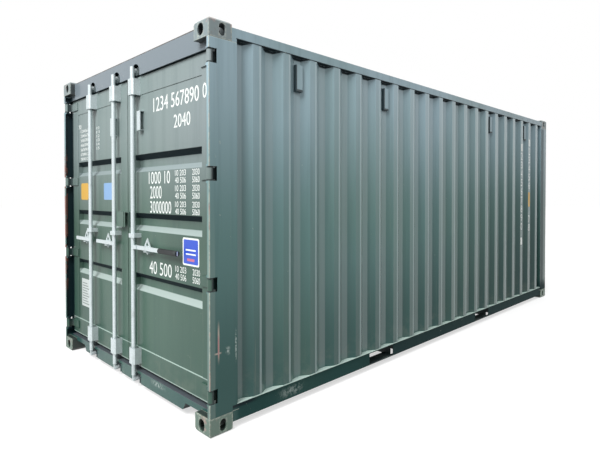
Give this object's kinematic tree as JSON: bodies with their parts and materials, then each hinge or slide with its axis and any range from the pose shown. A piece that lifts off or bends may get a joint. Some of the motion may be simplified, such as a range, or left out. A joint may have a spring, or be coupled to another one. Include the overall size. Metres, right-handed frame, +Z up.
{
  "type": "shipping container",
  "caption": "Steel box container with corrugated walls, hollow corner castings, fork pockets and two hinged end doors locked by turning rods with lift handles.",
  "frame": {"origin": "on the ground, in the middle of the container's footprint", "axes": "+X along the length away from the doors, +Y towards the left side seen from the doors, +Z up"},
  "size_m": [6.058, 2.438, 2.591],
  "materials": {
    "body_paint": "glossy grey-green paint",
    "casting_steel": "paint worn to rust at the edges",
    "underframe_paint": "dark underframe paint",
    "fitting_paint": "grey-green paint",
    "galvanised_steel": "dull zinc",
    "vent_plastic": "painted over",
    "gasket_rubber": "black rubber",
    "grip_rubber": "black rubber",
    "floor_plywood": "sealed plywood"
  },
  "bodies": {
    "container": {"bottom_casting_closed_left": "casting_steel", "bottom_casting_closed_right": "casting_steel", "bottom_casting_door_left": "casting_steel", "bottom_casting_door_right": "casting_steel", "bottom_side_rail_left": "body_paint", "bottom_side_rail_right": "body_paint", "cam_pockets": "body_paint", "closed_end_posts": "body_paint", "cross_members": "underframe_paint", "door_header": "body_paint", "door_post_left": "body_paint", "door_post_right": "body_paint", "door_sill": "body_paint", "door_stops": "body_paint", "end_bottom_rail": "body_paint", "end_top_rail": "body_paint", "end_wall": "body_paint", "floor_boards": "floor_plywood", "fork_pocket_linings": "underframe_paint", "rod_keepers": "galvanised_steel", "roof": "body_paint", "side_wall_left": "body_paint", "side_wall_right": "body_paint", "top_casting_closed_left": "casting_steel", "top_casting_closed_right": "casting_steel", "top_casting_door_left": "casting_steel", "top_casting_door_right": "casting_steel", "top_side_rails": "body_paint", "vent_covers": "vent_plastic"},
    "door_right": {"door_right_catches": "galvanised_steel", "door_right_frame": "body_paint", "door_right_gasket": "gasket_rubber", "door_right_hinges": "fitting_paint", "door_right_lock_box": "fitting_paint", "door_right_panel": "body_paint", "door_right_rod_guides": "galvanised_steel"},
    "door_left": {"door_left_catches": "galvanised_steel", "door_left_frame": "body_paint", "door_left_gasket": "gasket_rubber", "door_left_hinges": "fitting_paint", "door_left_lock_box": "fitting_paint", "door_left_panel": "body_paint", "door_left_rod_guides": "galvanised_steel"},
    "rod_right": {"lock_rod_right": "galvanised_steel"},
    "rod_left_inner": {"lock_rod_left_inner": "galvanised_steel"},
    "rod_left_outer": {"lock_rod_left_outer": "galvanised_steel"},
    "handle_right": {"handle_right": "galvanised_steel", "handle_grip": "grip_rubber"},
    "handle_left_inner": {"handle_left_inner": "galvanised_steel"},
    "handle_left_outer": {"handle_left_outer": "galvanised_steel"}
  },
  "joints": [
    {"name": "door_right_hinge", "type": "hinge", "parent": "container", "child": "door_right", "pos_m": [-3.007, -1.197, 1.3], "axis": [0, 0, 1], "range_deg": [0, 264]},
    {"name": "door_left_hinge", "type": "hinge", "parent": "container", "child": "door_left", "pos_m": [-3.007, 1.197, 1.3], "axis": [0, 0, -1], "range_deg": [0, 262]},
    {"name": "rod_right_turn", "type": "hinge", "parent": "door_right", "child": "rod_right", "pos_m": [-3.004, -0.172, 1.3], "axis": [0, 0, 1], "range_deg": [-90, 0]},
    {"name": "rod_left_inner_turn", "type": "hinge", "parent": "door_left", "child": "rod_left_inner", "pos_m": [-3.004, 0.163, 1.3], "axis": [0, 0, -1], "range_deg": [-90, 0]},
    {"name": "rod_left_outer_turn", "type": "hinge", "parent": "door_left", "child": "rod_left_outer", "pos_m": [-3.004, 0.645, 1.3], "axis": [0, 0, -1], "range_deg": [-90, 0]},
    {"name": "handle_right_lift", "type": "hinge", "parent": "rod_right", "child": "handle_right", "pos_m": [-3.004, -0.22, 1.105], "axis": [-1, 0, 0], "range_deg": [0, 20]},
    {"name": "handle_left_inner_lift", "type": "hinge", "parent": "rod_left_inner", "child": "handle_left_inner", "pos_m": [-3.004, 0.211, 1.105], "axis": [1, 0, 0], "range_deg": [0, 20]},
    {"name": "handle_left_outer_lift", "type": "hinge", "parent": "rod_left_outer", "child": "handle_left_outer", "pos_m": [-3.004, 0.693, 1.105], "axis": [1, 0, 0], "range_deg": [0, 20]}
  ]
}
